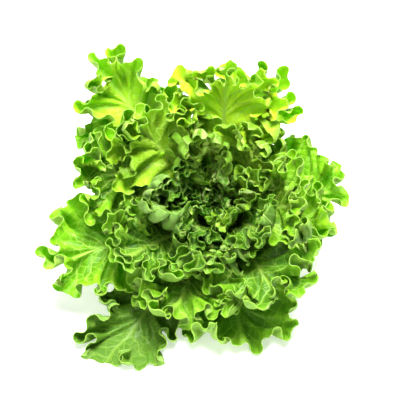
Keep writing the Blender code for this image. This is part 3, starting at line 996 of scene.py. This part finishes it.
def makeStemMaterial():
    material, tree, shader = startMaterial("stem flesh")
    grain = objectNoise(tree, 120.0, 4.0, (-900, 0))
    height = attribute(tree, "height", (-1100, -300))
    flesh = mixColour(tree, grain, stemTone["flesh"], stemTone["light"], (-600, 0))
    green = ramp(tree, height, 16.0, 34.0, (-800, -300))
    flesh = mixColour(tree, green, flesh, stemTone["green"], (-400, 0))
    brown = mathNode(tree, "MULTIPLY", ramp(tree, height, 1.2, 0.0, (-800, -500)), 0.55, (-600, -500))
    flesh = mixColour(tree, brown, flesh, stemTone["brown"], (-200, 0))
    tree.links.new(flesh, shader.inputs["Base Color"])
    shader.inputs["Roughness"].default_value = 0.5
    shader.inputs["Subsurface Weight"].default_value = 0.2
    shader.inputs["Subsurface Scale"].default_value = 0.003
    addBump(tree, shader, grain, 0.4, 0.0006, (-400, -300))
    return material


def makeStem():
    bm = bmesh.new()
    bmesh.ops.create_uvsphere(bm, u_segments=96, v_segments=64, radius=1.0)
    path = np.array(stemProfile())
    run = np.concatenate([[0.0], np.cumsum(np.hypot(*np.diff(path, axis=0).T))])
    heights = []
    for vert in bm.verts:
        x, y, z = vert.co
        turn = math.degrees(math.atan2(x, y))
        place = (1.0 - math.acos(max(-1.0, min(1.0, z))) / math.pi) * run[-1]
        r = float(np.interp(place, run, path[:, 0]))
        h = float(np.interp(place, run, path[:, 1]))
        if place < run[1]:  # rings in the cut
            h += 0.25 * (1.0 + math.cos(0.55 * r)) * smooth((stem["buttRadius"] - r) / 4.0)
        else:  # scars of leaves that were picked off
            scar = 0.5 * math.sin(math.radians(3.0 * turn) + 0.5 * h) * smooth((h - 1.0) / 5.0)
            r += min(scar, 0.3) * smooth(r / 8.0)
        vert.co = Vector(toWorld(np.array(r), np.array(h), np.array(turn)) * mm + headShift)
        heights.append(h)
    mesh = bpy.data.meshes.new("stem_fine")
    bmesh.ops.recalc_face_normals(bm, faces=bm.faces)
    bm.to_mesh(mesh)
    bm.free()
    mesh.attributes.new("height", "FLOAT", "POINT").data.foreach_set("value", heights)
    mesh.materials.append(makeStemMaterial())
    mesh.shade_smooth()
    piece = bpy.data.objects.new("stem_fine", mesh)
    bpy.context.scene.collection.objects.link(piece)
    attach(piece, "root")
    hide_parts("stem")


makeStem()
print("stem made")


# Floor, lights and camera
ground = {
    "colour": (0.93, 0.935, 0.94, 1.0),
    "half": 14.0,           # of its side
    "glow": 0.45,
    "moreGlow": 0.5,        # of the far floor, which the lights don't reach, so that it stays white
    "far": (0.7, 3.5),      # metres over which it grows
}
lights = {  # place, what it points at, size and power
    "key": ((0.1, -0.05, 1.4), (0.0, 0.0, 0.1), 0.7, 45.0),
    "fill": ((-0.6, -1.2, 0.9), (0.0, 0.0, 0.1), 1.0, 6.0),
    "rear": ((-0.1, 1.0, 0.9), (0.0, 0.0, 0.12), 0.8, 8.0),
}
worldGlow = 0.09
shot = {"azimuth": 10.0, "elevation": 38.0, "distance": 0.969, "lens": 85.0, "shift": (0.012, -0.019)}


def makeFloor():
    material, tree, shader = startMaterial("floor white")
    shader.inputs["Base Color"].default_value = ground["colour"]
    shader.inputs["Roughness"].default_value = 0.7
    shader.inputs["Emission Color"].default_value = (1.0, 1.0, 1.0, 1.0)
    where = addNode(tree, "ShaderNodeTexCoord", (-900, 0))
    away = addNode(tree, "ShaderNodeVectorMath", (-700, 0), operation="LENGTH")
    tree.links.new(where.outputs["Object"], away.inputs[0])
    far = ramp(tree, away.outputs["Value"], *ground["far"], (-500, 0))
    glow = mathNode(tree, "MULTIPLY_ADD", far, ground["moreGlow"], (-300, 0))
    glow.node.inputs[2].default_value = ground["glow"]
    tree.links.new(glow, shader.inputs["Emission Strength"])
    bm = bmesh.new()
    bmesh.ops.create_grid(bm, x_segments=2, y_segments=2, size=ground["half"])
    mesh = bpy.data.meshes.new("floor")
    bm.to_mesh(mesh)
    bm.free()
    mesh.materials.append(material)
    floor = bpy.data.objects.new("floor", mesh)
    bpy.context.scene.collection.objects.link(floor)


def aim(thing, direction):
    thing.rotation_mode = "QUATERNION"
    thing.rotation_quaternion = direction.to_track_quat("-Z", "Y")


def addArea(name, place, target, size, power):
    light = bpy.data.lights.new(name, "AREA")
    light.size = size
    light.energy = power
    lamp = bpy.data.objects.new(name, light)
    bpy.context.scene.collection.objects.link(lamp)
    lamp.location = place
    aim(lamp, Vector(target) - Vector(place))


def makeWorld():
    world = bpy.data.worlds.new("studio")
    bpy.context.scene.world = world
    world.use_nodes = True
    background = world.node_tree.nodes["Background"]
    background.inputs["Color"].default_value = (1.0, 1.0, 1.0, 1.0)
    background.inputs["Strength"].default_value = worldGlow


def makeCamera():
    lens = bpy.data.cameras.new("camera")
    lens.lens = shot["lens"]
    lens.shift_x, lens.shift_y = shot["shift"]
    camera = bpy.data.objects.new("camera", lens)
    bpy.context.scene.collection.objects.link(camera)
    bpy.context.scene.camera = camera
    low, high = (Vector(c) for c in cadBox)
    azimuth, elevation = math.radians(shot["azimuth"]), math.radians(shot["elevation"])
    back = Vector((math.sin(azimuth) * math.cos(elevation), -math.cos(azimuth) * math.cos(elevation),
                   math.sin(elevation)))
    camera.location = (low + high) / 2.0 + back * shot["distance"]
    aim(camera, -back)


makeFloor()
makeWorld()
for name, settings in lights.items():
    addArea(name, *settings)
makeCamera()
bpy.context.scene.view_settings.view_transform = "Standard"
print("stage made")
